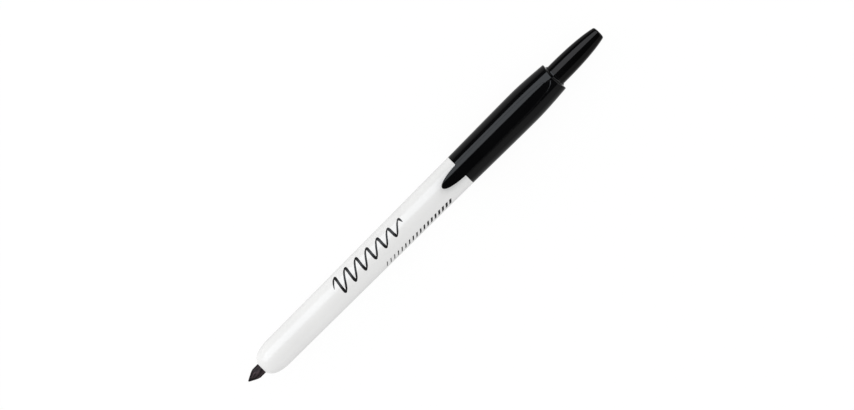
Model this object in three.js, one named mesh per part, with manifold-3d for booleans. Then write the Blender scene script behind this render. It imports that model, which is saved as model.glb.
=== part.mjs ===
// A retractable permanent marker, shown with its nib out and its latch held.
// Every piece stands along its own Y axis, with Y measured from the tip of the nib.
// The last lines lay the whole pen down along X, with its clip on top.

import * as THREE from 'three';
import { mergeVertices } from 'three/addons/utils/BufferGeometryUtils.js';
import Module from 'manifold-3d';

const wasm = await Module();
wasm.setup();

// Lengths along the pen, in millimetres

const nibReach = 5.7; // nib that stands out of the nose when writing
const barrelLength = 83.4; // nose face to the foot of the rear sleeve
const sleeveLength = 39.3;
const buttonReach = 18.9; // button that stands out of the sleeve when writing
const stroke = 12.2; // travel from writing to retracted
const overPress = 1.8; // push past writing that lets the latch turn

// Outer radii

const noseFaceRadius = 2.4;
const noseShoulderRadius = 4.9;
const barrelBackRadius = 5.36;
const sleeveBulgeRadius = 5.63;
const sleeveCrownRadius = 4.93;
const buttonRadius = 3.46;
const buttonTipRadius = 2.17;
const nibRadius = 1.75;

// Bores and walls

const barrelBore = 3.95;
const sleeveBore = 4.5;
const valveRoomRadius = 3.2;
const tubeWall = 0.6;
const guideWall = 0.4;
const buttonWall = 0.95;
const chamberWall = 0.7;
const holderWall = 0.65;
const lipWall = 0.45;

// Clearances

const fit = 0.1; // radial, between pieces that are pushed together
const slideFit = 0.15; // radial, between pieces that slide
const freeGap = 0.25; // radial, round the ink cartridge
const faceGap = 0.3; // along the pen, between faces that meet

// Nose and valve

const noseLength = 7.3;
const noseCurve = { near: 0.11, far: 0.29, flare: 1 }; // handles: shares of the nose, and a radius
const noseWall = 2.2; // length of the hole that guides the nib
const valveStep = 5.9; // nose face to the shoulder that the valve seats on
const valveFlange = 0.8;
const lipLength = 2.7;
const lipSlit = 0.35;
const lipThin = 0.6; // share of the lip's wall that is left at its end
const chamberLip = 0.8;

// Nib, its holder and the return spring

const nibConeLength = 3.1;
const nibTipRadius = 0.26;
const nibTipDip = 0.3; // share of the tip's radius that its rounding takes
const nibShoulder = 0.5; // end of the cone to where the nib is straight
const nibCurve = { near: 0.5, far: 0.9, swell: 0.55 };
const nibDip = 4; // nib that reaches into the ink reservoir
const holderLead = 1; // holder in front of the ring groove
const ringWidth = 1;
const ringDepth = 0.35;
const ringSides = 8;
const ringRun = 0.9; // chamber left behind the ring when retracted
const springLength = 12;
const springWire = 0.5;
const springRadius = 3.3;
const springCurls = 9;
const springPerCurl = 8;
const springSides = 5;
const collarLength = 1.4;
const holderTail = 6.5;

// Ink cartridge and its plug

const plugDepth = 5.5;
const plugCoreRadius = 3.3;
const socketDepth = 3;
const pinRadius = 1.1;

// Latch

const rotorLength = 6.1;
const rotorFoot = 1.5; // plain core below the rotor's ribs
const stemRadius = 2.1;
const stemLength = 8;
const stemRoom = 1; // bore above the rotor's stem
const thrustLength = 12; // crown of the thrust cam to the top of its splines
const thrustNeckRadius = 2.3;
const thrustNeckLength = 10;
const splineLength = 9.8;
const splineHalfWidth = 1.15;
const splineRise = 0.32;
const ribHalfWidth = 1.3;
const ribCount = 4;
const ribSlope = 1.6;
const toothCount = 8;
const toothDepth = 0.9;
const toothHalfWidth = 0.9;
const spigotLength = 6;
const snapRise = 0.12; // ridge on the spigot that snaps into the sleeve
const snapAt = 3; // foot of the sleeve to the middle of the ridge
const snapLength = 0.8;
const overcut = 1; // how far a cutting shape reaches past what it cuts

// Rear sleeve, button and clip

const rimThickness = 1.8;
const rimRound = 0.3;
const rimSlope = 0.125; // the rim lies lower on the clip's side
const bulgeRise = 26.7; // foot of the sleeve to its widest ring
const flankCurve = { near: 0.4, far: 0.8, swell: 0.48 }; // handles: shares of length and of swell
const shoulderCurve = { near: 0.33, far: 0.77, swell: 0.34 };
const buttonShoulder = 2.7; // straight part of the button above the rim
const buttonCorner = 0.6;
const buttonEndWall = 2.85;
const buttonCurve = { near: 0.33, far: 0.74, swell: 0.74 };
const clipOverhang = 7.8; // clip that reaches past the foot of the sleeve
const clipHalfWidth = 2.25;
const clipThickness = 1.3;
const clipCrown = 0.35;
const clipTipTaper = 9.3;
const clipTipFulness = 0.47; // 0.5 is an ellipse, less is blunter
const clipApexTaper = 15;
const clipApexFulness = 0.45;
const clipRise = 1.3; // air between the clip and the widest ring of the sleeve
const clipApexDrop = 1.4; // rim to the upper end of the clip
const clipBump = 0.7;
const clipBumpRise = 4;
const clipBumpSpread = 1.6;
const clipCrest = 18.9; // foot of the sleeve to where the clip stands highest
const clipRootThin = 0.3; // share of its thickness that the clip keeps at its upper end
const clipRootShare = 0.25; // share of its length that is so thin
const clipUnderShare = 0.85; // share of its width that its flat underside takes
const clipEdgeShare = 0.25; // share of its thickness that its lower edges slope over
const clipApexSwell = 0.2; // share of the sleeve's bulge that is left under its upper end
const clipSteps = 24;
const clipEndTrim = 0.7; // steps left out at each end, so that the ends stay blunt
const tabWidth = 1.8;
const tabLength = 5;
const tabRise = 6.5; // rim to the upper end of the tab
const tabEndGap = 0.35;

const outerSides = 48;
const innerSides = 24;

// Places along the pen, from the tip of the nib

const noseAt = nibReach;
const sleeveAt = noseAt + barrelLength;
const rimAt = sleeveAt + sleeveLength;
const endAt = rimAt + buttonReach;
const flangeAt = rimAt - rimThickness;
const bulgeAt = sleeveAt + bulgeRise;

const valveStepAt = noseAt + valveStep;
const valveAt = valveStepAt + faceGap;
const chamberAt = valveAt + valveFlange + faceGap;
const holderAt = chamberAt + chamberLip + overPress + faceGap;
const ringAt = holderAt + holderLead;
const chamberEnd = ringAt + ringWidth + stroke + ringRun;
const springAt = chamberEnd + faceGap;
const collarAt = springAt + springLength + faceGap;
const tubeAt = collarAt + collarLength + faceGap;
const holderEnd = tubeAt + holderTail;

const splineTop = flangeAt - stroke - faceGap;
const crownAt = splineTop - thrustLength;
const rotorTop = crownAt - faceGap;
const rotorAt = rotorTop - rotorLength;
const ribFoot = rotorTop + faceGap;
const plugBack = rotorAt - faceGap;
const tubeEnd = ribFoot - stroke - faceGap;
const plugAt = tubeEnd - plugDepth;
const guideAt = sleeveAt + spigotLength + faceGap;
const buttonFoot = splineTop + faceGap;

// Radii that follow from the bores

const nibHole = nibRadius + 2 * fit;
const holderRadius = nibRadius + fit + holderWall;
const chamberRadius = barrelBore - fit;
const chamberBore = chamberRadius - chamberWall;
const tubeRadius = barrelBore - freeGap;
const tubeBore = tubeRadius - tubeWall;
const spigotRadius = sleeveBore - fit;
const guideBore = spigotRadius - guideWall;
const ribReach = buttonRadius + fit;
const thrustRadius = ribReach - slideFit;
const splineReach = thrustRadius + splineRise;
const rimHole = buttonRadius + slideFit;
const restHeight = sleeveBulgeRadius * Math.cos(Math.PI / outerSides);

function finish(color, roughness, metalness = 0) {
  return new THREE.MeshStandardMaterial({ color, roughness, metalness });
}

const whitePlastic = finish(0xf2f2f0, 0.25);
const blackPlastic = finish(0x141416, 0.22);
const naturalPlastic = finish(0xd9d6cc, 0.45);
const greyPlastic = finish(0x8c8f94, 0.4);
const softRubber = finish(0x2a2a2c, 0.8);
const springSteel = finish(0xb8bcc0, 0.3, 1);
const inkedFelt = finish(0x241c22, 0.95);
const inkedFibre = finish(0x1b171d, 0.9);

// Shape helpers

// A profile is a list of [radius, place] pairs that closes on itself or runs from axis to axis.
function revolve(profile, sides) {
  const outline = profile.map(([radius, place]) => new THREE.Vector2(radius, place));
  const flatDown = Math.PI / sides; // puts a flat, not an edge, at the top and the bottom
  return new THREE.LatheGeometry(outline, sides, flatDown, 2 * Math.PI);
}

function ring(inner, outer, from, to, sides) {
  return revolve([[inner, from], [outer, from], [outer, to], [inner, to], [inner, from]], sides);
}

// Points of a Bezier curve, without its first one.
function bezier(start, handleA, handleB, end, steps) {
  const corners = [start, handleA, handleB, end].map(([x, y]) => new THREE.Vector2(x, y));
  const points = new THREE.CubicBezierCurve(...corners).getPoints(steps);
  return points.slice(1).map((point) => [point.x, point.y]);
}

function solidOf(geometry) {
  const bare = geometry.clone();
  bare.deleteAttribute('normal');
  bare.deleteAttribute('uv');
  const merged = mergeVertices(bare, 1e-4);
  const vertProperties = new Float32Array(merged.attributes.position.array);
  const triVerts = new Uint32Array(merged.index.array);
  return new wasm.Manifold(new wasm.Mesh({ numProp: 3, vertProperties, triVerts }));
}

function geometryOf(solid) {
  const mesh = solid.getMesh();
  const geometry = new THREE.BufferGeometry();
  geometry.setAttribute('position', new THREE.BufferAttribute(mesh.vertProperties, 3));
  geometry.setIndex(new THREE.BufferAttribute(mesh.triVerts, 1));
  geometry.computeVertexNormals();
  return geometry;
}

// A radial key: an outline in [across, place] pairs, from one radius to another, turned about Y.
function key(outline, inner, outer, turn) {
  const shape = new THREE.Shape(outline.map(([across, place]) => new THREE.Vector2(across, place)));
  const geometry = new THREE.ExtrudeGeometry(shape, { depth: outer - inner, bevelEnabled: false });
  geometry.translate(0, 0, inner);
  geometry.rotateY(turn);
  return geometry;
}

function keysAround(count, firstTurn, makeKey) {
  const turns = Array.from({ length: count }, (_, i) => firstTurn + (i * 2 * Math.PI) / count);
  return turns.map((turn) => solidOf(makeKey(turn)));
}

function joinAll(base, pieces) {
  return pieces.reduce((sum, piece) => sum.add(piece), solidOf(base));
}

function cutAll(base, pieces) {
  return pieces.reduce((left, piece) => left.subtract(piece), base);
}

// A closed skin over rings that have the same number of points each.
function loft(rings) {
  const count = rings[0].length;
  const last = rings.length - 1;
  const middle = (points) => points[0].clone().add(points[Math.floor(count / 2)]).multiplyScalar(0.5);
  const points = [...rings.flat(), middle(rings[0]), middle(rings[last])];
  const faces = [];
  for (let row = 0; row < last; row += 1) {
    for (let i = 0; i < count; i += 1) {
      const next = (i + 1) % count;
      const here = row * count;
      faces.push(here + i, here + next, here + count + i);
      faces.push(here + next, here + count + next, here + count + i);
    }
  }
  for (let i = 0; i < count; i += 1) {
    const next = (i + 1) % count;
    faces.push(next, i, points.length - 2);
    faces.push(last * count + i, last * count + next, points.length - 1);
  }
  const geometry = new THREE.BufferGeometry().setFromPoints(points);
  geometry.setIndex(faces);
  geometry.computeVertexNormals();
  return geometry;
}

// Housing

function barrelGeometry() {
  const nose = [
    [noseFaceRadius, noseAt],
    [noseFaceRadius + noseCurve.flare, noseAt + noseCurve.near * noseLength],
    [noseShoulderRadius, noseAt + noseCurve.far * noseLength],
    [noseShoulderRadius, noseAt + noseLength],
  ];
  const bodyEnd = sleeveAt - faceGap;
  const ridgeAt = sleeveAt + snapAt;
  return revolve([
    [nibHole, noseAt],
    nose[0],
    ...bezier(...nose, 9),
    [barrelBackRadius, bodyEnd],
    [spigotRadius, bodyEnd],
    [spigotRadius, ridgeAt - snapLength / 2],
    [spigotRadius + snapRise, ridgeAt - snapLength / 4],
    [spigotRadius + snapRise, ridgeAt + snapLength / 4],
    [spigotRadius, ridgeAt + snapLength / 2],
    [spigotRadius, sleeveAt + spigotLength],
    [barrelBore, sleeveAt + spigotLength],
    [barrelBore, valveStepAt],
    [valveRoomRadius, valveStepAt],
    [valveRoomRadius, noseAt + noseWall + valveRoomRadius - nibHole],
    [nibHole, noseAt + noseWall],
    [nibHole, noseAt],
  ], outerSides);
}

// Leans the outside of the sleeve's upper end, more and more towards the rim.
function slopeRim(shell) {
  const points = shell.attributes.position;
  const crownEnd = rimAt - rimRound;
  for (let i = 0; i < points.count; i += 1) {
    const place = points.getY(i);
    const outside = Math.hypot(points.getX(i), points.getZ(i)) > sleeveBore + fit || place > crownEnd;
    const share = Math.min(1, Math.max(0, (place - bulgeAt) / (crownEnd - bulgeAt)));
    if (outside) points.setY(i, place - rimSlope * share * share * points.getZ(i));
  }
}

function sleeveGeometry() {
  const foot = sleeveAt;
  const grooveAt = sleeveAt + snapAt;
  const crownEnd = rimAt - rimRound;
  const fall = crownEnd - bulgeAt;
  const flankSwell = sleeveBulgeRadius - barrelBackRadius;
  const shoulderSwell = sleeveBulgeRadius - sleeveCrownRadius;
  const flank = [
    [barrelBackRadius, foot],
    [barrelBackRadius + flankCurve.swell * flankSwell, foot + flankCurve.near * bulgeRise],
    [sleeveBulgeRadius, foot + flankCurve.far * bulgeRise],
    [sleeveBulgeRadius, bulgeAt],
  ];
  const shoulder = [
    [sleeveBulgeRadius, bulgeAt],
    [sleeveBulgeRadius, bulgeAt + shoulderCurve.near * fall],
    [sleeveCrownRadius + shoulderCurve.swell * shoulderSwell, bulgeAt + shoulderCurve.far * fall],
    [sleeveCrownRadius, crownEnd],
  ];
  const shell = revolve([
    [sleeveBore, foot],
    flank[0],
    ...bezier(...flank, 6),
    ...bezier(...shoulder, 7),
    [sleeveCrownRadius - rimRound, rimAt],
    [rimHole, rimAt],
    [rimHole, flangeAt],
    [sleeveBore, flangeAt],
    [sleeveBore, grooveAt + snapLength],
    [sleeveBore + snapRise, grooveAt + snapLength / 2],
    [sleeveBore + snapRise, grooveAt - snapLength / 2],
    [sleeveBore, grooveAt - snapLength],
    [sleeveBore, foot],
  ], outerSides);
  slopeRim(shell);
  const slotHead = sleeveBulgeRadius + overcut;
  const slot = new THREE.BoxGeometry(tabWidth + 2 * faceGap, tabLength + 2 * faceGap, slotHead - guideBore);
  slot.translate(0, rimAt - tabRise - tabLength / 2, (slotHead + guideBore) / 2);
  return geometryOf(solidOf(shell).subtract(solidOf(slot)));
}

// Half width of the leaf that the clip is seen as from above.
function clipHalfWidthAt(place, tipAt, apexAt) {
  const toTip = Math.max(0, 1 - (place - tipAt) / clipTipTaper);
  const toApex = Math.max(0, 1 - (apexAt - place) / clipApexTaper);
  const tipShare = (1 - toTip ** 2) ** clipTipFulness;
  const apexShare = (1 - toApex ** 2) ** clipApexFulness;
  return clipHalfWidth * tipShare * apexShare;
}

function clipSection(place, half, underside, thickness) {
  const top = underside + thickness;
  const edge = underside + clipEdgeShare * thickness;
  const foot = [[-clipUnderShare, underside], [clipUnderShare, underside]];
  const crown = [1, 0.75, 0.4, 0, -0.4, -0.75, -1].map((share) => [share, top - clipCrown * share ** 2]);
  return [...foot, [1, edge], ...crown, [-1, edge]].map(([share, height]) =>
    new THREE.Vector3(share * half, place, height));
}

function clipGeometry() {
  const tipAt = sleeveAt - clipOverhang;
  const apexAt = rimAt - clipApexDrop;
  const tabAt = rimAt - tabRise;
  const crownSurface = sleeveCrownRadius + clipApexSwell * (sleeveBulgeRadius - sleeveCrownRadius);
  const underside = new THREE.SplineCurve([
    new THREE.Vector2(tipAt, barrelBackRadius + clipBump + faceGap),
    new THREE.Vector2(sleeveAt, barrelBackRadius + clipRise),
    new THREE.Vector2(sleeveAt + clipCrest, sleeveBulgeRadius + clipRise),
    new THREE.Vector2(tabAt - tabLength, sleeveBulgeRadius + 0.5 * clipRise),
    new THREE.Vector2(tabAt, sleeveBulgeRadius + faceGap),
    new THREE.Vector2(apexAt, crownSurface + faceGap),
  ]);
  const heights = underside.getPoints(60);
  const undersideAt = (place) => {
    const next = Math.max(1, heights.findIndex((point) => point.x >= place));
    const [a, b] = [heights[next - 1], heights[next]];
    return a.y + ((b.y - a.y) * (place - a.x)) / (b.x - a.x);
  };
  const rings = [];
  for (let i = 0; i <= clipSteps; i += 1) {
    const along = 0.5 - 0.5 * Math.cos((Math.PI * (i + clipEndTrim)) / (clipSteps + 2 * clipEndTrim));
    const place = tipAt + (apexAt - tipAt) * along;
    const half = clipHalfWidthAt(place, tipAt, apexAt);
    const bump = clipBump * Math.exp(-(((place - tipAt - clipBumpRise) / clipBumpSpread) ** 2));
    const full = Math.sin(Math.PI * Math.min(1, along + clipRootShare)) ** 0.5;
    const thin = clipRootThin + (1 - clipRootThin) * full;
    const foot = undersideAt(place) - bump;
    rings.push(clipSection(place, half, foot, clipThickness * thin + bump));
  }
  const leaf = loft(rings.reverse());
  const tabFoot = spigotRadius + tabEndGap;
  const tabHead = sleeveBulgeRadius + faceGap + 0.2 * clipThickness;
  const tab = new THREE.BoxGeometry(tabWidth, tabLength, tabHead - tabFoot);
  tab.translate(0, tabAt - tabLength / 2, (tabHead + tabFoot) / 2);
  return geometryOf(solidOf(leaf).add(solidOf(tab)));
}

// Button and latch

function buttonGeometry() {
  const shoulderAt = rimAt + buttonShoulder;
  const cornerAt = endAt - buttonCorner;
  const taper = cornerAt - shoulderAt;
  const swell = buttonRadius - buttonTipRadius;
  const cornerCut = buttonCorner * (1 - Math.SQRT1_2);
  const wallEnd = endAt - buttonEndWall;
  const bore = buttonRadius - buttonWall;
  return revolve([
    [bore, buttonFoot],
    [buttonRadius, buttonFoot],
    [buttonRadius, shoulderAt],
    ...bezier(
      [buttonRadius, shoulderAt],
      [buttonRadius, shoulderAt + buttonCurve.near * taper],
      [buttonTipRadius + buttonCurve.swell * swell, shoulderAt + buttonCurve.far * taper],
      [buttonTipRadius, cornerAt],
      7,
    ),
    [buttonTipRadius - cornerCut, endAt - cornerCut],
    [buttonTipRadius - buttonCorner, endAt],
    [0, endAt],
    [0, wallEnd],
    [buttonTipRadius - buttonWall, wallEnd],
    [bore, shoulderAt],
    [bore, buttonFoot],
  ].map(([radius, place]) => [Math.max(0, radius), place]), outerSides);
}

// A saw tooth that is cut into a crown, deepest at one side.
function toothOutline(place, depth) {
  const back = place - fit * Math.sign(depth);
  return [[-toothHalfWidth, back], [toothHalfWidth, back], [toothHalfWidth, place + depth]];
}

function splineOutline(foot, top, slope) {
  const half = splineHalfWidth;
  return [[-half, foot], [half, foot], [half, top], [-half, top - slope]];
}

function thrustCamGeometry() {
  const boreEnd = crownAt + stemLength + stemRoom;
  const neckEnd = splineTop + thrustNeckLength;
  const bore = stemRadius + slideFit + fit;
  const core = revolve([
    [bore, crownAt],
    [thrustRadius, crownAt],
    [thrustRadius, splineTop],
    [thrustNeckRadius, splineTop],
    [thrustNeckRadius, neckEnd],
    [0, neckEnd],
    [0, boreEnd + bore],
    [bore, boreEnd],
    [bore, crownAt],
  ], innerSides);
  const splineFoot = splineTop - splineLength;
  const splines = keysAround(ribCount, Math.PI / ribCount, (turn) =>
    key(splineOutline(splineFoot, splineTop, 0), bore + slideFit, splineReach, turn));
  const teeth = keysAround(toothCount, 0, (turn) =>
    key(toothOutline(crownAt, toothDepth), stemRadius, splineReach + overcut, turn));
  return geometryOf(cutAll(joinAll(core, splines), teeth));
}

function rotorGeometry() {
  const core = revolve([
    [0, rotorAt - socketDepth],
    [pinRadius, rotorAt - socketDepth],
    [pinRadius, rotorAt],
    [plugCoreRadius, rotorAt],
    [plugCoreRadius, rotorTop],
    [stemRadius, rotorTop],
    [stemRadius, rotorTop + stemLength],
    [0, rotorTop + stemLength],
  ], innerSides);
  const ribs = keysAround(ribCount, Math.PI / ribCount, (turn) =>
    key(splineOutline(rotorAt + rotorFoot, rotorTop, ribSlope), stemRadius, splineReach, turn));
  const teeth = keysAround(toothCount, 0, (turn) =>
    key(toothOutline(rotorTop, -toothDepth), stemRadius, thrustRadius + overcut, turn));
  const stem = ring(0, stemRadius, rotorTop - 2 * toothDepth, rotorTop + 0.5 * stemLength, innerSides);
  return geometryOf(cutAll(joinAll(core, ribs), teeth).add(solidOf(stem)));
}

function camGuideGeometry() {
  const guideEnd = flangeAt - faceGap;
  const tube = ring(guideBore, spigotRadius, guideAt, guideEnd, innerSides);
  const outline = [
    [-ribHalfWidth, ribFoot],
    [ribHalfWidth, ribFoot + ribSlope],
    [ribHalfWidth, guideEnd],
    [-ribHalfWidth, guideEnd],
  ];
  const ribs = keysAround(ribCount, 0, (turn) =>
    key(outline, ribReach, guideBore + guideWall / 2, turn));
  return geometryOf(joinAll(tube, ribs));
}

// Ink cartridge and nib

function cartridgeTubeGeometry() {
  return ring(tubeBore, tubeRadius, tubeAt, tubeEnd, innerSides);
}

function reservoirGeometry() {
  const from = holderEnd + faceGap;
  const to = plugAt - faceGap;
  const radius = tubeBore - slideFit;
  const well = nibRadius + slideFit;
  const wellEnd = holderEnd + nibDip + faceGap;
  return revolve([
    [well, from],
    [radius, from],
    [radius, to],
    [0, to],
    [0, wellEnd],
    [well, wellEnd],
    [well, from],
  ], innerSides);
}

function endPlugGeometry() {
  const inTube = tubeBore - fit;
  const socket = pinRadius + 2 * slideFit;
  const socketEnd = rotorAt - socketDepth - faceGap;
  return revolve([
    [0, plugAt],
    [inTube, plugAt],
    [inTube, tubeEnd + faceGap],
    [plugCoreRadius, tubeEnd + faceGap],
    [plugCoreRadius, plugBack],
    [socket, plugBack],
    [socket, socketEnd],
    [0, socketEnd],
  ], innerSides);
}

function nibHolderGeometry() {
  const bore = nibRadius + fit;
  const groove = holderRadius - ringDepth;
  const collar = tubeRadius - fit;
  const tail = tubeBore - fit;
  return revolve([
    [bore, holderAt],
    [holderRadius, holderAt],
    [holderRadius, ringAt],
    [groove, ringAt],
    [groove, ringAt + ringWidth],
    [holderRadius, ringAt + ringWidth],
    [holderRadius, collarAt],
    [collar, collarAt],
    [collar, collarAt + collarLength],
    [tail, collarAt + collarLength],
    [tail, holderEnd],
    [bore, holderEnd],
    [bore, holderAt],
  ], innerSides);
}

function nibGeometry() {
  const cone = [
    [nibTipRadius, nibTipDip * nibTipRadius],
    [nibCurve.swell * nibRadius, nibCurve.near * nibConeLength],
    [nibRadius, nibCurve.far * nibConeLength],
    [nibRadius, nibConeLength + nibShoulder],
  ];
  const back = holderEnd + nibDip;
  return revolve([[0, 0], cone[0], ...bezier(...cone, 6), [nibRadius, back], [0, back]], innerSides);
}

// Seals and spring

function holderRingGeometry() {
  const inner = holderRadius - ringDepth + 0.5 * fit;
  const outer = chamberBore - 0.5 * fit;
  const middle = (inner + outer) / 2;
  const half = Math.min((outer - inner) / 2, ringWidth / 2 - fit);
  const profile = Array.from({ length: ringSides + 1 }, (_, i) => [
    middle + ((outer - inner) / 2) * Math.cos((i * 2 * Math.PI) / ringSides),
    ringAt + ringWidth / 2 + half * Math.sin((i * 2 * Math.PI) / ringSides),
  ]);
  return revolve(profile, innerSides);
}

function sealChamberGeometry() {
  const lipBore = holderRadius - faceGap;
  return revolve([
    [lipBore, chamberAt],
    [chamberRadius, chamberAt],
    [chamberRadius, chamberEnd],
    [chamberBore, chamberEnd],
    [chamberBore, chamberAt + chamberLip],
    [lipBore, chamberAt + chamberLip],
    [lipBore, chamberAt],
  ], innerSides);
}

function slitValveGeometry() {
  const inner = nibRadius + faceGap;
  const lipFoot = valveAt - lipLength;
  const skirt = revolve([
    [inner, lipFoot],
    [inner + lipThin * lipWall, lipFoot],
    [inner + lipWall, valveAt - lipLength / 2],
    [inner + lipWall, valveAt],
    [barrelBore - slideFit, valveAt],
    [barrelBore - slideFit, valveAt + valveFlange],
    [inner, valveAt + valveFlange],
    [inner, lipFoot],
  ], innerSides);
  const slits = [0, Math.PI / 2].map((turn) => {
    const blade = new THREE.BoxGeometry(3 * valveRoomRadius, 1.6 * lipLength, lipSlit);
    blade.rotateY(turn);
    blade.translate(0, lipFoot, 0);
    return solidOf(blade);
  });
  return geometryOf(cutAll(solidOf(skirt), slits));
}

// The spring's centre line: straight at both ends, with its curls between.
function springPath() {
  const straight = springWire;
  const coilAt = springAt + straight + springWire / 2;
  const coilLength = springLength - 2 * straight - springWire;
  const points = [];
  for (let i = 0; i <= springCurls * springPerCurl; i += 1) {
    const turn = (i * 2 * Math.PI) / springPerCurl;
    const place = coilAt + (coilLength * i) / (springCurls * springPerCurl);
    points.push(new THREE.Vector3(springRadius * Math.sin(turn), place, springRadius * Math.cos(turn)));
  }
  const first = points[0].clone();
  const last = points[points.length - 1].clone();
  first.y = springAt;
  last.y = springAt + springLength;
  return [first, ...points, last];
}

function springGeometry() {
  const path = springPath();
  const rings = path.map((point, i) => {
    const out = new THREE.Vector3(point.x, 0, point.z).normalize();
    const before = path[Math.max(0, i - 1)];
    const after = path[Math.min(path.length - 1, i + 1)];
    const along = after.clone().sub(before).normalize();
    const side = along.clone().cross(out).normalize();
    return Array.from({ length: springSides }, (_, k) => {
      const turn = (k * 2 * Math.PI) / springSides;
      return point.clone()
        .addScaledVector(out, (springWire / 2) * Math.cos(turn))
        .addScaledVector(side, (springWire / 2) * Math.sin(turn));
    });
  });
  return loft(rings);
}

// Least air between one part of the wire and another that is half a curl or more away.
function springSelfGap() {
  const path = springPath();
  let least = Infinity;
  for (let a = 0; a < path.length; a += 1) {
    for (let b = a + springPerCurl / 2 + 1; b < path.length; b += 1) {
      least = Math.min(least, path[a].distanceTo(path[b]) - springWire);
    }
  }
  return least;
}

function piece(name, geometry, material) {
  const mesh = new THREE.Mesh(geometry, material);
  mesh.name = name;
  return mesh;
}

const housing = new THREE.Group();
housing.add(
  piece('barrel', barrelGeometry(), whitePlastic),
  piece('rear_sleeve', sleeveGeometry(), blackPlastic),
  piece('pocket_clip', clipGeometry(), blackPlastic),
  piece('cam_guide', camGuideGeometry(), naturalPlastic),
  piece('seal_chamber', sealChamberGeometry(), naturalPlastic),
  piece('slit_valve', slitValveGeometry(), softRubber),
);

const latch = new THREE.Group();
latch.add(
  piece('push_button', buttonGeometry(), blackPlastic),
  piece('thrust_cam', thrustCamGeometry(), naturalPlastic),
  piece('cam_rotor', rotorGeometry(), greyPlastic),
);

const cartridge = new THREE.Group();
cartridge.add(
  piece('cartridge_tube', cartridgeTubeGeometry(), naturalPlastic),
  piece('ink_reservoir', reservoirGeometry(), inkedFibre),
  piece('end_plug', endPlugGeometry(), naturalPlastic),
  piece('nib_holder', nibHolderGeometry(), greyPlastic),
  piece('holder_ring', holderRingGeometry(), softRubber),
  piece('return_spring', springGeometry(), springSteel),
  piece('nib', nibGeometry(), inkedFelt),
);

console.log('return spring: least gap to itself ' + springSelfGap().toFixed(2) + ' mm');

const marker = new THREE.Group();
marker.add(housing, latch, cartridge);
marker.rotation.z = -Math.PI / 2;
marker.position.set(-endAt / 2, 0, restHeight);

const part = new THREE.Group();
part.add(marker);

export default part;
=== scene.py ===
import math

import bmesh
import bpy
from mathutils import Matrix, Vector


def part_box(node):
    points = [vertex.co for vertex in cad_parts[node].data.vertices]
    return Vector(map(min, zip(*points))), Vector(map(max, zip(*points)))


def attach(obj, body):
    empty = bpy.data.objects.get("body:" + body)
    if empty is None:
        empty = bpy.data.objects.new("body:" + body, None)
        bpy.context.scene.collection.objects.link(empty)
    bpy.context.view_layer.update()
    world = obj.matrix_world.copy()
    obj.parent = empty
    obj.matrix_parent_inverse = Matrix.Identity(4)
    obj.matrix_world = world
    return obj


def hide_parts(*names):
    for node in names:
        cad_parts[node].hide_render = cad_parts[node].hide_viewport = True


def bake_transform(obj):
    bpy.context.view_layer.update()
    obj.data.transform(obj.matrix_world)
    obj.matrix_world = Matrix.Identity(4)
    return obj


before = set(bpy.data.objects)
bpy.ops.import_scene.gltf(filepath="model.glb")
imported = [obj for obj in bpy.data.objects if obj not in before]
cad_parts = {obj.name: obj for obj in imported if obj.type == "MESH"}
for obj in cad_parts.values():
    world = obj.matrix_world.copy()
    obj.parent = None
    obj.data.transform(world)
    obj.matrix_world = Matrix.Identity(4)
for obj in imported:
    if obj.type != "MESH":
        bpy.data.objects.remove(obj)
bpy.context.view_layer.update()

mm = 0.001
weldDistance = 1e-7  # metres
sharpAngle = 35  # degrees from face to face, past which an edge shows

# A piece's measures are in millimetres, and a place lies so far along the pen from the nib's tip
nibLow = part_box("nib")[0]
buttonLow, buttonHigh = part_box("push_button")
tipX = nibLow.x
axisHeight = (buttonLow.z + buttonHigh.z) / 2


def placesOf(node):
    low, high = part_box(node)
    return (low.x - tipX) / mm, (high.x - tipX) / mm


noseAt, spigotEnd = placesOf("barrel")
footAt, rimAt = placesOf("rear_sleeve")
buttonFoot, endAt = placesOf("push_button")
clipTip, clipApex = placesOf("pocket_clip")
nibEnd = placesOf("nib")[1]
print("frame loaded, axis", round(axisHeight / mm, 2), "mm up, pen", round(endAt, 1), "mm long")


# Materials

def setInputs(node, values):
    for key, value in values.items():
        node.inputs[key].default_value = value


def newMaterial(name, values):
    material = bpy.data.materials.new(name)
    material.use_nodes = True
    shader = material.node_tree.nodes["Principled BSDF"]
    setInputs(shader, values)
    return material, material.node_tree, shader


def addNode(tree, kind, inputs=None, **settings):
    node = tree.nodes.new(kind)
    for key, value in settings.items():
        setattr(node, key, value)
    setInputs(node, inputs or {})
    return node


def addBump(tree, shader, height, facts):
    bump = addNode(tree, "ShaderNodeBump", {"Strength": facts["bump"], "Distance": facts["depth"]})
    tree.links.new(height, bump.inputs["Height"])
    tree.links.new(bump.outputs["Normal"], shader.inputs["Normal"])


def objectNoise(tree, scale, detail, stretch=(1, 1, 1)):
    place = addNode(tree, "ShaderNodeTexCoord")
    mapping = addNode(tree, "ShaderNodeMapping", {"Scale": stretch})
    noise = addNode(tree, "ShaderNodeTexNoise", {"Scale": scale, "Detail": detail})
    tree.links.new(place.outputs["Object"], mapping.inputs["Vector"])
    tree.links.new(mapping.outputs["Vector"], noise.inputs["Vector"])
    return noise.outputs["Fac"]


def tintByNoise(tree, shader, factor, dark, light, low=0.3, high=0.7):
    ramp = addNode(tree, "ShaderNodeValToRGB")
    ends = ramp.color_ramp.elements
    ends[0].position, ends[1].position = low, high
    ends[0].color, ends[1].color = (*dark, 1), (*light, 1)
    tree.links.new(factor, ramp.inputs["Fac"])
    tree.links.new(ramp.outputs["Color"], shader.inputs["Base Color"])


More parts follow.
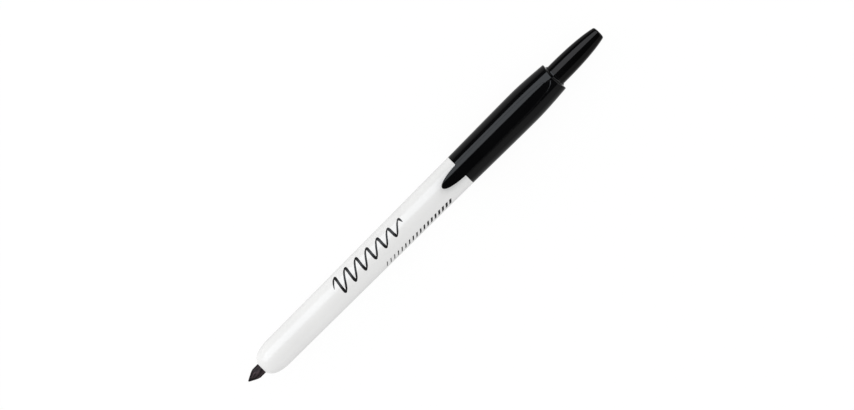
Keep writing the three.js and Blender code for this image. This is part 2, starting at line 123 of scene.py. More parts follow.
# Noise scales are per metre, and a bump's depth is in metres
plastic = {
    "ior": 1.5,
    "mottle": 60.0,
    "mottleDetail": 3.0,
    "grain": 900.0,
    "grainDetail": 2.0,
    "bump": 0.15,
    "depth": 0.00001,
}
fibre = {
    "roughness": 0.62,
    "gloss": 0.35,
    "grain": 1900.0,
    "grainDetail": 4.0,
    "darkBelow": 0.42,
    "lightAbove": 0.68,
    "bump": 0.9,
    "depth": 0.00016,
}
steel = {
    "roughness": 0.28,
    "grain": 1500.0,
    "grainDetail": 3.0,
    "dark": (0.5, 0.51, 0.53),
    "light": (0.72, 0.73, 0.75),
}
rubber = {
    "roughness": 0.7,
    "grain": 1800.0,
    "grainDetail": 3.0,
    "dark": (0.03, 0.03, 0.031),
    "light": (0.055, 0.055, 0.057),
    "bump": 0.4,
    "depth": 0.00004,
}


def mouldedPlastic(name, dark, light, roughness, gloss=0.5, glossTint=(1, 1, 1)):
    p = plastic
    material, tree, shader = newMaterial(name, {
        "Roughness": roughness,
        "IOR": p["ior"],
        "Specular IOR Level": gloss,
        "Specular Tint": (*glossTint, 1),
    })
    tintByNoise(tree, shader, objectNoise(tree, p["mottle"], p["mottleDetail"]), dark, light)
    addBump(tree, shader, objectNoise(tree, p["grain"], p["grainDetail"]), p)
    return material


def soakedFibre(name, dark, light, stretch):
    p = fibre
    material, tree, shader = newMaterial(name, {
        "Roughness": p["roughness"],
        "Specular IOR Level": p["gloss"],
    })
    fibres = objectNoise(tree, p["grain"], p["grainDetail"], stretch)
    tintByNoise(tree, shader, fibres, dark, light, p["darkBelow"], p["lightAbove"])
    addBump(tree, shader, fibres, p)
    return material


def drawnSteel(name):
    p = steel
    material, tree, shader = newMaterial(name, {"Metallic": 1.0, "Roughness": p["roughness"]})
    grain = objectNoise(tree, p["grain"], p["grainDetail"])
    tintByNoise(tree, shader, grain, p["dark"], p["light"])
    return material


def softRubber(name):
    p = rubber
    material, tree, shader = newMaterial(name, {"Roughness": p["roughness"]})
    grain = objectNoise(tree, p["grain"], p["grainDetail"])
    tintByNoise(tree, shader, grain, p["dark"], p["light"])
    addBump(tree, shader, grain, p)
    return material


barrelWhite = mouldedPlastic("barrelWhite", dark=(0.905, 0.905, 0.9), light=(0.93, 0.93, 0.925),
                             roughness=0.14, gloss=0.75)
glossBlack = mouldedPlastic("glossBlack", dark=(0.0012, 0.0012, 0.0015),
                            light=(0.0024, 0.0024, 0.0028), roughness=0.07)
buttonBlack = mouldedPlastic("buttonBlack", dark=(0.0012, 0.0012, 0.0014),
                             light=(0.0024, 0.0024, 0.0026), roughness=0.08, gloss=0.38,
                             glossTint=(1.0, 0.95, 0.93))
printBlack = mouldedPlastic("printBlack", dark=(0.009, 0.009, 0.01), light=(0.014, 0.014, 0.015),
                            roughness=0.3)
naturalPlastic = mouldedPlastic("naturalPlastic", dark=(0.74, 0.72, 0.66), light=(0.82, 0.8, 0.75),
                                roughness=0.4)
greyPlastic = mouldedPlastic("greyPlastic", dark=(0.4, 0.42, 0.45), light=(0.47, 0.49, 0.52),
                             roughness=0.38)
nibFelt = soakedFibre("nibFelt", dark=(0.006, 0.0035, 0.005), light=(0.064, 0.039, 0.046),
                      stretch=(0.2, 1, 1))
reservoirFibre = soakedFibre("reservoirFibre", dark=(0.008, 0.006, 0.008), light=(0.05, 0.04, 0.05),
                             stretch=(0.08, 1, 1))
springSteel = drawnSteel("springSteel")
sealRubber = softRubber("sealRubber")
print("materials made")


# Shape helpers

def clamp(value):
    return min(1.0, max(0.0, value))


def smoothStep(value):
    t = clamp(value)
    return t * t * (3 - 2 * t)


def bezierPoints(start, handleA, handleB, end, steps):
    points = []
    for i in range(1, steps + 1):
        t = i / steps
        shares = ((1 - t) ** 3, 3 * t * (1 - t) ** 2, 3 * t * t * (1 - t), t ** 3)
        corners = (start, handleA, handleB, end)
        points.append(tuple(sum(s * c[k] for s, c in zip(shares, corners)) for k in (0, 1)))
    return points


def cornerArc(place, radius, size, fromDeg, toDeg, steps=6):
    angles = [math.radians(fromDeg + (toDeg - fromDeg) * i / steps) for i in range(steps + 1)]
    return [(place + size * math.cos(a), radius + size * math.sin(a)) for a in angles]


def slopeBetween(knots, a, b):
    return (knots[b][1] - knots[a][1]) / (knots[b][0] - knots[a][0])


# A curve through all knots without a kink, level past the first and the last one
def smoothThrough(knots, at):
    last = len(knots) - 1
    if at <= knots[0][0]:
        return knots[0][1]
    if at >= knots[last][0]:
        return knots[last][1]
    i = max(k for k in range(last) if knots[k][0] <= at)
    slopeA = slopeBetween(knots, max(0, i - 1), i + 1)
    slopeB = slopeBetween(knots, i, min(last, i + 2))
    (x0, y0), (x1, y1) = knots[i], knots[i + 1]
    span = x1 - x0
    t = (at - x0) / span
    return ((2 * t ** 3 - 3 * t ** 2 + 1) * y0 + (t ** 3 - 2 * t ** 2 + t) * span * slopeA
            + (3 * t ** 2 - 2 * t ** 3) * y1 + (t ** 3 - t ** 2) * span * slopeB)


def addObject(name, data):
    added = bpy.data.objects.new(name, data)
    bpy.context.scene.collection.objects.link(added)
    return added


def addMeshObject(name, mesh):
    data = bpy.data.meshes.new(name)
    mesh.to_mesh(data)
    mesh.free()
    return addObject(name, data)


def finishPiece(mesh, name, material, body=None, node=None):
    piece = addMeshObject(name, mesh)
    for face in piece.data.polygons:
        face.use_smooth = True
    piece.data.set_sharp_from_angle(angle=math.radians(sharpAngle))
    piece.data.materials.append(material)
    if body:
        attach(piece, body)
    if node:
        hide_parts(node)
    return piece


# A profile is (place, radius) pairs, closed on itself unless it starts and ends on the axis
def turnedMesh(profile, sectors=((0, 360, 192),)):
    mesh = bmesh.new()
    for fromDeg, toDeg, steps in sectors:
        verts = [mesh.verts.new((tipX + place * mm, 0, radius * mm)) for place, radius in profile]
        edges = [mesh.edges.new(pair) for pair in zip(verts, verts[1:])]
        if profile[0][1] > 0:
            edges.append(mesh.edges.new((verts[-1], verts[0])))
        start = Matrix.Rotation(math.radians(fromDeg), 3, "X")
        bmesh.ops.rotate(mesh, verts=verts, cent=(0, 0, 0), matrix=start)
        bmesh.ops.spin(mesh, geom=verts + edges, axis=(1, 0, 0), cent=(0, 0, 0), steps=steps,
                       angle=math.radians(toDeg - fromDeg), use_merge=toDeg - fromDeg == 360)
    bmesh.ops.remove_doubles(mesh, verts=mesh.verts, dist=weldDistance)
    bmesh.ops.recalc_face_normals(mesh, faces=mesh.faces)
    bmesh.ops.translate(mesh, verts=mesh.verts, vec=(0, 0, axisHeight))
    return mesh


# Gives an open skin a second one that is joined to it all round, and returns the second's points
def secondSkin(mesh):
    made = bmesh.ops.extrude_face_region(mesh, geom=mesh.faces[:])
    return [item for item in made["geom"] if isinstance(item, bmesh.types.BMVert)]


# Barrel

barrel = {
    "faceRadius": 2.4,
    "shoulderRadius": 4.9,
    "backRadius": 5.36,
    "noseLength": 7.3,
    "noseLow": 0.11,  # the handles of the nose's curve, as shares of its length
    "noseHigh": 0.29,
    "noseSwell": 1.0,
    "noseSteps": 48,
    "holeRadius": 1.95,
    "holeLength": 2.2,
    "bore": 3.95,
    "boreFrom": 4.4,  # behind the nose's face
    "spigotRadius": 4.4,
    "lipRound": 0.15,
    "backRound": 0.06,
    "seam": 0.05,  # what shows of the joint under the sleeve's foot
}
shoulderAt = noseAt + barrel["noseLength"]


def barrelProfile():
    p = barrel
    lip, backRound = p["lipRound"], p["backRound"]
    back = footAt - p["seam"]
    nose = [
        (noseAt + lip, p["faceRadius"]),
        (noseAt + p["noseLow"] * p["noseLength"], p["faceRadius"] + p["noseSwell"]),
        (noseAt + p["noseHigh"] * p["noseLength"], p["shoulderRadius"]),
        (shoulderAt, p["shoulderRadius"]),
    ]
    profile = cornerArc(noseAt + lip, p["holeRadius"] + lip, lip, 270, 180)
    profile += [(noseAt, p["faceRadius"] - lip), nose[0]] + bezierPoints(*nose, p["noseSteps"])
    profile += cornerArc(back - backRound, p["backRadius"] - backRound, backRound, 90, 0, steps=3)
    profile += [(back, p["spigotRadius"]), (spigotEnd, p["spigotRadius"]), (spigotEnd, p["bore"])]
    profile += [(noseAt + p["boreFrom"], p["bore"]), (noseAt + p["holeLength"], p["holeRadius"])]
    return profile


def barrelRadiusAt(place):
    p = barrel
    share = (place - shoulderAt) / (footAt - shoulderAt)
    return p["shoulderRadius"] + (p["backRadius"] - p["shoulderRadius"]) * share


finishPiece(turnedMesh(barrelProfile()), "whiteBarrel", barrelWhite,
            "housing", "barrel")
print("barrel made")

# Leaf outline that the clip and its seat on the sleeve share

leaf = {
    "halfWidth": 2.25,
    "tipTaper": 9.3,
    "tipFulness": 0.47,
    "apexTaper": 15.0,
    "apexFulness": 0.45,
    "apexPoint": 0.5,  # length over which the upper end comes to a point
}


def leafHalfWidth(place, grow=0.0):
    p = leaf
    toTip = clamp(1 - (place - clipTip) / p["tipTaper"])
    fromApex = max(0.0, clipApex + grow - place)
    toApex = clamp(1 - fromApex / p["apexTaper"])
    point = 1 - math.exp(-fromApex / p["apexPoint"])
    wide = p["halfWidth"] * (1 - toTip ** 2) ** p["tipFulness"]
    return wide * point * (1 - toApex ** 2) ** p["apexFulness"]


# Rear sleeve

sleeve = {
    "footRadius": 5.36,
    "footRound": 0.08,
    "bulgeRadius": 5.63,
    "crownRadius": 4.93,
    "bulgeRise": 26.7,
    # the handles of the side's two curves, as shares of their length and height
    "flankLow": (0.4, 0.48),
    "flankHigh": 0.8,
    "shoulderLow": 0.33,
    "shoulderHigh": (0.77, 0.34),
    "flankSteps": 40,
    "shoulderSteps": 110,
    "rimRound": 0.3,
    "rimDrop": 0.4,  # from the solid sleeve's upper end down to the rim at the sides
    "rimSag": 1.0,  # the rim lies this much lower under the clip than at the pen's sides
    "rimThickness": 1.8,
    "lipRise": 0.42,  # low lip round the button's hole, with a fillet at its foot
    "lipWidth": 0.12,
    "lipLevel": 0.5,  # share of the sag that the lip's edge is spared
    "holeRadius": 3.54,
    "bore": 4.5,
    "boreMargin": 0.1,  # points up to here from the bore stay as they are
    "fineHalfAngle": 27,  # the clip's seat needs finer faces
    "fineSteps": 135,
    "coarseSteps": 153,
    "seatDepth": 0.25,
    "seatSlope": 0.45,  # width of the bank round the clip's upper end
    "seatAhead": 0.85,  # how far the seat reaches past the clip's upper end
    "seatBeside": 0.15,
    "seatWidening": 4.0,  # length over which it gets that wide beside the clip
    "seatFrom": 6.0,  # clip's upper end to where the seat starts
    "seatRamp": 0.6,  # share of that length in which it gets deep
    "seatSide": 0.7,  # the seat runs out here on the +Y side
    "seatFade": 0.6,
}
bulgeAt = footAt + sleeve["bulgeRise"]
flatRim = rimAt - sleeve["rimDrop"]
crownAt = flatRim - sleeve["rimRound"]


def sleeveProfile():
    p = sleeve
    rise, fall = bulgeAt - footAt, crownAt - bulgeAt
    swell, drop = p["bulgeRadius"] - p["footRadius"], p["bulgeRadius"] - p["crownRadius"]
    flank = [
        (footAt + p["footRound"], p["footRadius"]),
        (footAt + p["flankLow"][0] * rise, p["footRadius"] + p["flankLow"][1] * swell),
        (footAt + p["flankHigh"] * rise, p["bulgeRadius"]),
        (bulgeAt, p["bulgeRadius"]),
    ]
    shoulder = [
        (bulgeAt, p["bulgeRadius"]),
        (bulgeAt + p["shoulderLow"] * fall, p["bulgeRadius"]),
        (bulgeAt + p["shoulderHigh"][0] * fall, p["crownRadius"] + p["shoulderHigh"][1] * drop),
        (crownAt, p["crownRadius"]),
    ]
    lipAt, lipOuter = flatRim + p["lipRise"], p["holeRadius"] + p["lipWidth"]
    lipRound, rimUnder = p["lipWidth"] / 2, flatRim - p["rimThickness"]
    profile = [(footAt, p["footRadius"] - p["footRound"]), flank[0]]
    profile += bezierPoints(*flank, p["flankSteps"]) + bezierPoints(*shoulder, p["shoulderSteps"])
    profile += cornerArc(crownAt, p["crownRadius"] - p["rimRound"], p["rimRound"], 80, 0, steps=8)
    profile += cornerArc(lipAt, lipOuter + p["lipRise"], p["lipRise"], 180, 270, steps=8)
    profile += cornerArc(lipAt, lipOuter - lipRound, lipRound, 75, -90)
    profile += [(rimUnder, p["holeRadius"]), (rimUnder, p["bore"]), (footAt, p["bore"])]
    return profile


# How deep the seat round the clip's upper end is at a point of the sleeve's top
def seatSink(place, y):
    p = sleeve
    beside = p["seatBeside"] * smoothStep((clipApex - place) / p["seatWidening"])
    bank = leafHalfWidth(place, p["seatAhead"]) + beside - abs(y)
    if bank <= 0 or place >= clipApex + p["seatAhead"]:
        return 0.0
    deep = smoothStep((place - clipApex + p["seatFrom"]) / (p["seatRamp"] * p["seatFrom"]))
    side = smoothStep((p["seatSide"] - y) / p["seatFade"])
    return p["seatDepth"] * deep * side * min(1.0, bank / p["seatSlope"])


# How much lower the top of the sleeve lies at a point than in its profile
def rimSink(place, z):
    p = sleeve
    share = clamp((place - bulgeAt) / (crownAt - bulgeAt))
    onLip = clamp((place - flatRim) / p["lipRise"])
    sag = p["rimSag"] * (max(0.0, z) / p["crownRadius"]) ** 2
    return sag * share ** 2 * (1 - p["lipLevel"] * onLip)


def sleeveMesh():
    p = sleeve
    fine = p["fineHalfAngle"]
    sectors = ((-fine, fine, p["fineSteps"]), (fine, 360 - fine, p["coarseSteps"]))
    mesh = turnedMesh(sleeveProfile(), sectors)
    for vert in mesh.verts:
        place = (vert.co.x - tipX) / mm
        y, z = vert.co.y / mm, (vert.co.z - axisHeight) / mm
        radius = math.hypot(y, z)
        if radius < p["bore"] + p["boreMargin"] and place < crownAt:
            continue
        if z > 0:
            inward = (radius - seatSink(place, y)) / radius
            vert.co.y *= inward
            vert.co.z = axisHeight + (vert.co.z - axisHeight) * inward
        vert.co.x -= rimSink(place, z) * mm
    return mesh


finishPiece(sleeveMesh(), "blackSleeve", glossBlack, "housing", "rear_sleeve")
print("rear sleeve made")

# Push button

button = {
    "radius": 3.46,
    "tipRadius": 2.17,
    "straight": 2.48,
    # the handles of the taper's curve, as shares of its length and height
    "taperLow": 0.33,
    "taperHigh": (0.74, 0.74),
    "taperSteps": 48,
    "corner": 0.7,
    "dome": 0.09,
    "domeMiddle": (0.3, 0.5),  # share of the dome still to rise, and of the radius
    "wall": 0.95,
    "endWalls": 3,  # the end is this many walls thick
}


def buttonProfile():
    p = button
    shoulder = flatRim + p["straight"]
    corner = endAt - p["corner"]
    length, height = corner - shoulder, p["radius"] - p["tipRadius"]
    bore, wallEnd = p["radius"] - p["wall"], endAt - p["endWalls"] * p["wall"]
    taper = [
        (shoulder, p["radius"]),
        (shoulder + p["taperLow"] * length, p["radius"]),
        (shoulder + p["taperHigh"][0] * length, p["tipRadius"] + p["taperHigh"][1] * height),
        (corner, p["tipRadius"]),
    ]
    profile = [(wallEnd, 0), (wallEnd, p["tipRadius"] - p["wall"]), (shoulder, bore)]
    profile += [(buttonFoot, bore), (buttonFoot, p["radius"]), taper[0]]
    profile += bezierPoints(*taper, p["taperSteps"])
    profile += cornerArc(corner - p["dome"], p["tipRadius"] - p["corner"], p["corner"], 75, 8,
                         steps=8)
    toRise, toEdge = p["domeMiddle"]
    profile += [(endAt - toRise * p["dome"], toEdge * p["tipRadius"]), (endAt, 0)]
    return profile


finishPiece(turnedMesh(buttonProfile()), "pushButton", buttonBlack,
            "button", "push_button")
print("button made")

# Nib

nib = {
    "radius": 1.75,
    "tipRadius": 0.22,
    "tipDome": (0.06, 0.6),  # a point of the blunt tip and its edge, as shares of its radius
    "tipEdge": 0.3,
    "cone": 3.1,
    "coneLow": (0.5, 0.55),  # the handles of the cone's curve, as shares of its length and radius
    "coneHigh": 0.9,
    "coneSteps": 24,
    "shoulder": 0.5,
    "stepsAround": 128,
}


def nibProfile():
    p = nib
    tip, radius = p["tipRadius"], p["radius"]
    cone = [
        (p["tipEdge"] * tip, tip),
        (p["coneLow"][0] * p["cone"], p["coneLow"][1] * radius),
        (p["coneHigh"] * p["cone"], radius),
        (p["cone"] + p["shoulder"], radius),
    ]
    profile = [(0, 0), (p["tipDome"][0] * tip, p["tipDome"][1] * tip), cone[0]]
    profile += bezierPoints(*cone, p["coneSteps"])
    return profile + [(nibEnd, radius), (nibEnd, 0)]


finishPiece(turnedMesh(nibProfile(), ((0, 360, nib["stepsAround"]),)), "fibreNib", nibFelt,
            "cartridge", "nib")
print("nib made")

# Pocket clip

clip = {
    # clip's upper end to a place, and the height there above the pen's axis
    "top": [(0, 4.76), (0.5, 4.84), (1, 4.91), (1.5, 5.01), (2, 5.14), (3.5, 5.6), (4.8, 6.0),
            (7, 6.46), (9.7, 6.88), (15, 7.54), (19, 7.99), (28, 8.11), (37.5, 7.95),
            (41.3, 7.77), (45.3, 7.49)],
    "under": [(0, 4.5), (2, 4.7), (7, 5.0), (8.8, 5.5), (10, 6.04), (13, 6.51), (19, 6.91),
              (37.5, 6.67), (45.3, 6.39)],
    "crown": 0.27,
    "edgeRound": 0.09,
    "edgeMost": 0.8,  # share of the half width that the rounding may take
    "tipRound": 0.7,
    "tipDrop": 0.6,  # share of tipRound by which the top comes down at the tip
    "bump": 0.7,
    "bumpAt": 4.0,  # from the tip
    "bumpSpread": 1.6,
    "underInset": 0.95,
    "stepsAlong": 150,
    "stepsAcross": 36,
    "bendFrom": 7.5,  # the clip's root reaches this far from its upper end
    "bendTo": 17.0,
}


def clipTop(place, y):
    p = clip
    wide = leafHalfWidth(place)
    height = smoothThrough(p["top"], clipApex - place) - p["crown"] * (y / leaf["halfWidth"]) ** 2
    edge = min(p["edgeRound"], p["edgeMost"] * wide)
    if edge > 0:
        out = clamp((abs(y) - wide + edge) / edge)
        height -= edge * (1 - math.sqrt(1 - out ** 2))
    ahead = clamp(1 - (place - clipTip) / p["tipRound"])
    return height - p["tipDrop"] * p["tipRound"] * (1 - math.sqrt(1 - ahead ** 2))


def clipUnder(place):
    p = clip
    bump = math.exp(-(((place - clipTip - p["bumpAt"]) / p["bumpSpread"]) ** 2))
    return smoothThrough(p["under"], clipApex - place) - p["bump"] * bump


def clipMesh():
    p = clip
    mesh = bmesh.new()
    bmesh.ops.create_grid(mesh, x_segments=p["stepsAlong"], y_segments=p["stepsAcross"], size=1)
    for vert in mesh.verts:
        along = 0.5 - 0.5 * math.cos(math.pi * (vert.co.x + 1) / 2)  # closer rows at both ends
        place = clipTip + (clipApex - clipTip) * along
        y = leafHalfWidth(place) * math.sin(math.pi / 2 * vert.co.y)
        vert.co = (tipX + place * mm, y * mm, axisHeight + clipTop(place, y) * mm)
    for vert in secondSkin(mesh):
        place = (vert.co.x - tipX) / mm
        vert.co.y *= p["underInset"]
        vert.co.z = min(vert.co.z, axisHeight + clipUnder(place) * mm)
    bmesh.ops.remove_doubles(mesh, verts=mesh.verts, dist=weldDistance)
    bmesh.ops.recalc_face_normals(mesh, faces=mesh.faces)
    return mesh


leafClip = finishPiece(clipMesh(), "leafClip", glossBlack, node="pocket_clip")
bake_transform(leafClip)
print("clip made")

# Print on the barrel: a wave drawn in ink, and a row of slanted marks

inkWave = {
    "from": 37.5,
    "to": 66.0,
    "crests": 6.5,
    "middle": 1.3,  # along the barrel's skin from its top line, towards +Y
    "startHeight": 3.0,
    "endHeight": 1.5,
    "slant": 0.4,
    "thin": 0.2,
    "thick": 0.5,
    "penAngle": 35,
    # share of the wave's length over which each end gets thin, and how blunt it is
    "startFade": (0.02, 0.02),
    "endFade": (0.04, 0.01),
    "foldLimit": 0.8,  # most that a side may lie inside a bend, as a share of the bend's radius
    "stepsAlong": 900,
    "stepsAcross": 4,
    "skin": 0.016,  # it stands this high, and reaches as deep below the barrel's skin
}
slantMarks = {
    "from": 54.0,
    "step": 1.55,
    "count": 18,
    "middle": -5.35,
    "height": 1.9,
    "slant": 0.45,
    "narrow": 0.3,
    "wide": 0.85,
    "stepsAlong": 2,
    "stepsUp": 16,
}
bendReach = 5e-4  # shares of the wave's length, to either side, that its bend is read from
aimReach = 1e-4  # and its direction


def ontoBarrel(place, arc, lift):
    radius = barrelRadiusAt(place) + lift
    angle = arc / radius
    up, aside = radius * math.cos(angle), radius * math.sin(angle)
    return Vector((tipX + place * mm, aside * mm, axisHeight + up * mm))


def wavePoint(t):
    p = inkWave
    height = p["startHeight"] + (p["endHeight"] - p["startHeight"]) * t
    arc = height * math.sin(2 * math.pi * p["crests"] * t)
    return Vector((p["from"] + (p["to"] - p["from"]) * t + p["slant"] * arc, p["middle"] + arc))


# How sharply the wave bends to its left, as one over the radius
def waveBend(t):
    middle = wavePoint(t)
    before, after = middle - wavePoint(t - bendReach), wavePoint(t + bendReach) - middle
    return before.cross(after) / (before.length * after.length ** 2)


def addWave(mesh):
    p = inkWave
    made = bmesh.ops.create_grid(mesh, x_segments=p["stepsAlong"], y_segments=p["stepsAcross"],
                                 size=1)
    penAngle = math.radians(p["penAngle"])
    pen = Vector((math.cos(penAngle), math.sin(penAngle)))
    (startLength, startBlunt), (endLength, endBlunt) = p["startFade"], p["endFade"]
    for vert in made["verts"]:
        t = (vert.co.x + 1) / 2
        ahead = (wavePoint(t + aimReach) - wavePoint(t - aimReach)).normalized()
        width = p["thin"] + (p["thick"] - p["thin"]) * abs(ahead.cross(pen))
        width *= min(1.0, (t / startLength + startBlunt) ** 0.5,
                     ((1 - t) / endLength + endBlunt) ** 0.5)
        aside, bend = width * vert.co.y, waveBend(t)
        if aside * bend > p["foldLimit"]:
            aside = p["foldLimit"] / bend
        point = wavePoint(t) + Vector((-ahead.y, ahead.x)) * aside
        vert.co = ontoBarrel(point.x, point.y, p["skin"])


def addMarks(mesh):
    p = slantMarks
    for i in range(p["count"]):
        width = p["narrow"] + (p["wide"] - p["narrow"]) * i / (p["count"] - 1)
        made = bmesh.ops.create_grid(mesh, x_segments=p["stepsAlong"], y_segments=p["stepsUp"],
                                     size=1)
        for vert in made["verts"]:
            along, up = width * vert.co.x / 2, p["height"] * vert.co.y / 2
            place = p["from"] + p["step"] * i + along + p["slant"] * up
            vert.co = ontoBarrel(place, p["middle"] + up, inkWave["skin"])


def printMesh():
    mesh = bmesh.new()
    addWave(mesh)
    addMarks(mesh)
    for vert in secondSkin(mesh):
        y, z = vert.co.y, vert.co.z - axisHeight
        inward = 1 - 2 * inkWave["skin"] * mm / math.hypot(y, z)
        vert.co.y, vert.co.z = y * inward, axisHeight + z * inward
    bmesh.ops.recalc_face_normals(mesh, faces=mesh.faces)
    return mesh


finishPiece(printMesh(), "barrelPrint", printBlack, "housing")
print("print made")

# Return spring, held by the seal chamber in front and pushed by the cartridge behind

spring = {
    "radius": 3.3,
    "wire": 0.5,
    "wireSides": 12,
    "closedTurns": 1.0,  # at each end
    "closedPitch": 0.51,
    "openTurns": 7.0,
    "stepsPerTurn": 24,
}
springAt, springEnd = placesOf("return_spring")


def springMesh():
    p = spring
    mesh = bmesh.new()
    closed = (p["closedTurns"], p["closedTurns"] * p["closedPitch"])
    opened = (p["openTurns"], springEnd - springAt - p["wire"] - 2 * closed[1])
    start = Matrix.Translation((tipX + (springAt + p["wire"] / 2) * mm, 0, p["radius"] * mm))
    bmesh.ops.create_circle(mesh, segments=p["wireSides"], radius=p["wire"] / 2 * mm,
                            matrix=start @ Matrix.Rotation(math.radians(90), 4, "X"))
    wireEnd = mesh.verts[:] + mesh.edges[:]
    for turns, rise in (closed, opened, closed):
        steps = round(turns * p["stepsPerTurn"])
        made = bmesh.ops.spin(mesh, geom=wireEnd, axis=(1, 0, 0), cent=(0, 0, 0), steps=steps,
                              dvec=(rise * mm / steps, 0, 0), angle=math.radians(360 * turns))
        wireEnd = made["geom_last"]
    bmesh.ops.holes_fill(mesh, edges=mesh.edges[:], sides=p["wireSides"])
    bmesh.ops.recalc_face_normals(mesh, faces=mesh.faces)
    bmesh.ops.translate(mesh, verts=mesh.verts, vec=(0, 0, axisHeight))
    return mesh


coilSpring = finishPiece(springMesh(), "coilSpring", springSteel,
                         node="return_spring")
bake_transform(coilSpring)
print("spring made")

# The other inside pieces keep their solids and take their materials here

insideFinish = {
    "cam_guide": naturalPlastic,
    "thrust_cam": naturalPlastic,
    "cam_rotor": greyPlastic,
    "seal_chamber": naturalPlastic,
    "slit_valve": sealRubber,
    "cartridge_tube": naturalPlastic,
    "ink_reservoir": reservoirFibre,
    "end_plug": naturalPlastic,
    "nib_holder": greyPlastic,
    "holder_ring": sealRubber,
}
for nodeName, material in insideFinish.items():
    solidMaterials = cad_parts[nodeName].data.materials
    solidMaterials.clear()
    solidMaterials.append(material)
print("inside pieces finished")

# Camera

cameraFacts = {
    "lens": 200.0,
    "sensor": 36.0,
    "farEnd": 20.0,  # metres
    "imageWide": 854,
    "imageHigh": 410,
    "pixelsPerMm": 3.36,
    "penMiddle": (423.8, 206.7),  # where the middle of the pen lies in the image
    "lean": 44.91,  # of the pen in the image
}


def makeCamera():
    c = cameraFacts
    pixel = mm / c["pixelsPerMm"]
    distance = c["imageWide"] * pixel * c["lens"] / c["sensor"]
    turn = math.radians(-c["lean"])
    right = Vector((math.cos(turn), math.sin(turn), 0))
    up = Vector((-math.sin(turn), math.cos(turn), 0))
    offRight = (c["penMiddle"][0] - c["imageWide"] / 2) * pixel
    offUp = (c["imageHigh"] / 2 - c["penMiddle"][1]) * pixel
    camera = addObject("camera", bpy.data.cameras.new("camera"))
    camera.data.lens = c["lens"]
    camera.data.sensor_width = c["sensor"]
    camera.data.clip_end = c["farEnd"]
    camera.location = Vector((0, 0, axisHeight + distance)) - right * offRight - up * offUp
    camera.rotation_euler = (0, 0, turn)
    bpy.context.scene.camera = camera


makeCamera()

# Lamps: a long strip on the +Y side, a weak one opposite and a small one past the button's end,
# which only show in glossy surfaces, and a soft one that lights the dull ones. Distances and sizes
# are in metres, tilt is from straight up towards +Y, and turn is about the vertical.

lamps = {
    "stripLamp": {
        "tilt": 37.25,
        "distance": 0.6,
        "along": 1.4,
        "across": 0.566,
        "radiance": 1.4,
        "colour": (0.94, 1.0, 1.07),
        "lighting": False,
    },
    "sideLamp": {
        "tilt": -72.0,
        "distance": 0.7,
        "along": 3.4,
        "across": 0.46,
        "radiance": 0.22,
        "lighting": False,
    },
    "endLamp": {
        "tilt": 74.0,
        "turn": -112.0,
        "distance": 0.8,
        "along": 0.75,
        "across": 0.42,
        "radiance": 0.6,
        "lighting": False,
    },
    "softLamp": {
        "tilt": 70.0,
        "turn": 40.0,
        "distance": 1.2,
        "along": 1.4,
        "across": 0.9,
        "radiance": 1.0,
        "mirrored": False,
    },
}


def areaLamp(name, tilt, distance, along, across, radiance, turn=0.0, colour=(1, 1, 1),
             mirrored=True, lighting=True):
    lamp = addObject(name, bpy.data.lights.new(name, "AREA"))
    lamp.data.shape = "RECTANGLE"
    lamp.data.size = along
    lamp.data.size_y = across
    lamp.data.energy = radiance * math.pi * along * across
    lamp.data.color = colour
    angle, swing = math.radians(tilt), math.radians(turn)
    reach, height = distance * math.sin(angle), distance * math.cos(angle)
    lamp.location = (-reach * math.sin(swing), reach * math.cos(swing), axisHeight + height)
    lamp.rotation_euler = (-angle, 0, swing)
    lamp.visible_camera = False
    lamp.visible_glossy = mirrored
    lamp.visible_diffuse = lighting


for lampName, lampFacts in lamps.items():
    areaLamp(lampName, **lampFacts)

# Air and floor

studio = {
    "airSoft": 0.865,  # what dull surfaces get from all round
    "airMirror": 0.018,  # what shows in glossy ones
    # metres from the pen, and how bright the floor there shows in glossy surfaces: a painted pool
    # of light that glows brightest next to the pen
    "paintedFloorGlow": [(0.005, 0.9), (0.008, 0.5), (0.014, 0.3), (0.063, 0.2), (0.1, 0.18)],
    "floorSize": 6.0,
    "floorColour": 0.85,
    "floorRoughness": 0.9,
    "floorSeen": 1.02,  # how bright the camera sees it
    "floorGlow": 0.93,  # share of that in what the camera sees, the rest being lit
}


def makeAir():
    world = bpy.data.worlds.new("studioAir")
    bpy.context.scene.world = world
    world.use_nodes = True
    tree = world.node_tree
    background = tree.nodes["Background"]
    setInputs(background, {"Color": (1, 1, 1, 1)})
    rays = addNode(tree, "ShaderNodeLightPath")
    mirrorMix = addNode(tree, "ShaderNodeMix", {"A": studio["airSoft"], "B": studio["airMirror"]})
    cameraMix = addNode(tree, "ShaderNodeMix", {"B": 1.0})
    tree.links.new(rays.outputs["Is Glossy Ray"], mirrorMix.inputs["Factor"])
    tree.links.new(rays.outputs["Is Camera Ray"], cameraMix.inputs["Factor"])
    tree.links.new(mirrorMix.outputs["Result"], cameraMix.inputs["A"])
    tree.links.new(cameraMix.outputs["Result"], background.inputs["Strength"])


# How far a point of the floor lies from the line that the pen lies on
def distanceFromPen(tree):
    place = addNode(tree, "ShaderNodeTexCoord").outputs["Object"]
    halfPen = (endAt * mm / 2, 0, 0)
    steps = {"ABSOLUTE": {}, "SUBTRACT": {1: halfPen}, "MAXIMUM": {1: (0, 0, 0)}, "LENGTH": {}}
    for operation, inputs in steps.items():
        step = addNode(tree, "ShaderNodeVectorMath", inputs, operation=operation)
        tree.links.new(place, step.inputs[0])
        place = step.outputs["Value" if operation == "LENGTH" else "Vector"]
    return place
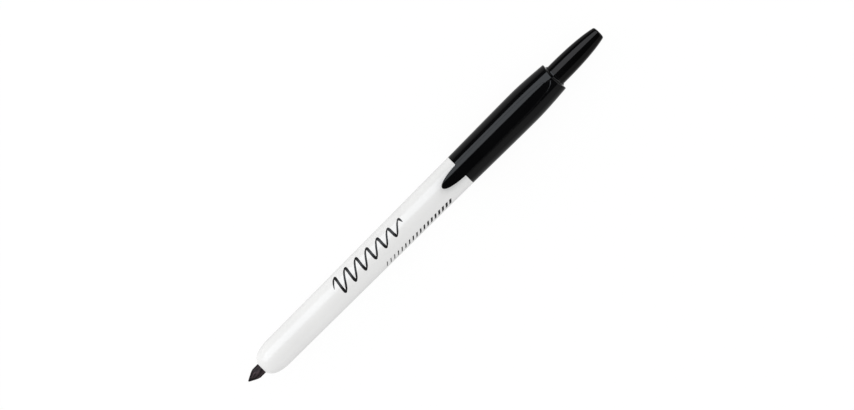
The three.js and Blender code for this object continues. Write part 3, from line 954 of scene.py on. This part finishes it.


# Painted pool of light: the floor glows only in glossy rays, brightest next to the pen and dimmer
# further off
def paintedGlowNearPen(tree):
    knots = studio["paintedFloorGlow"]
    far = knots[-1][0]
    share = addNode(tree, "ShaderNodeMath", {1: far}, operation="DIVIDE")
    ramp = addNode(tree, "ShaderNodeValToRGB")
    ends = ramp.color_ramp.elements
    while len(ends) < len(knots):
        ends.new(0.5)
    for end, (distance, level) in zip(ends, knots):
        end.position = distance / far
        end.color = (level, level, level, 1)
    tree.links.new(distanceFromPen(tree), share.inputs[0])
    tree.links.new(share.outputs[0], ramp.inputs["Fac"])
    return ramp.outputs["Color"]


def floorMaterial():
    s = studio
    material, tree, shader = newMaterial("paleFloor", {
        "Base Color": (*[s["floorColour"]] * 3, 1),
        "Roughness": s["floorRoughness"],
        "Specular IOR Level": 0.0,
    })
    rays = addNode(tree, "ShaderNodeLightPath")
    seen = addNode(tree, "ShaderNodeMath", operation="MAXIMUM")
    share = addNode(tree, "ShaderNodeMath", {1: s["floorGlow"]}, operation="MULTIPLY")
    seenGlow = addNode(tree, "ShaderNodeEmission", {"Strength": s["floorSeen"]})
    mirrorGlow = addNode(tree, "ShaderNodeEmission")
    seenMix = addNode(tree, "ShaderNodeMixShader")
    mirrorMix = addNode(tree, "ShaderNodeMixShader")
    links = tree.links
    # the floor's painted glow, which shows only in glossy surfaces
    links.new(paintedGlowNearPen(tree), mirrorGlow.inputs["Color"])
    links.new(rays.outputs["Is Camera Ray"], seen.inputs[0])
    links.new(rays.outputs["Is Transmission Ray"], seen.inputs[1])
    links.new(seen.outputs[0], share.inputs[0])
    links.new(share.outputs[0], seenMix.inputs["Fac"])
    links.new(shader.outputs["BSDF"], seenMix.inputs[1])
    links.new(seenGlow.outputs["Emission"], seenMix.inputs[2])
    links.new(rays.outputs["Is Glossy Ray"], mirrorMix.inputs["Fac"])
    links.new(seenMix.outputs["Shader"], mirrorMix.inputs[1])
    links.new(mirrorGlow.outputs["Emission"], mirrorMix.inputs[2])
    links.new(mirrorMix.outputs["Shader"], tree.nodes["Material Output"].inputs["Surface"])
    return material


def makeFloor():
    mesh = bmesh.new()
    bmesh.ops.create_grid(mesh, x_segments=1, y_segments=1, size=studio["floorSize"] / 2)
    floor = addMeshObject("floor", mesh)
    floor.data.materials.append(floorMaterial())


makeAir()
makeFloor()
bpy.context.scene.view_settings.view_transform = "Standard"
print("studio made")
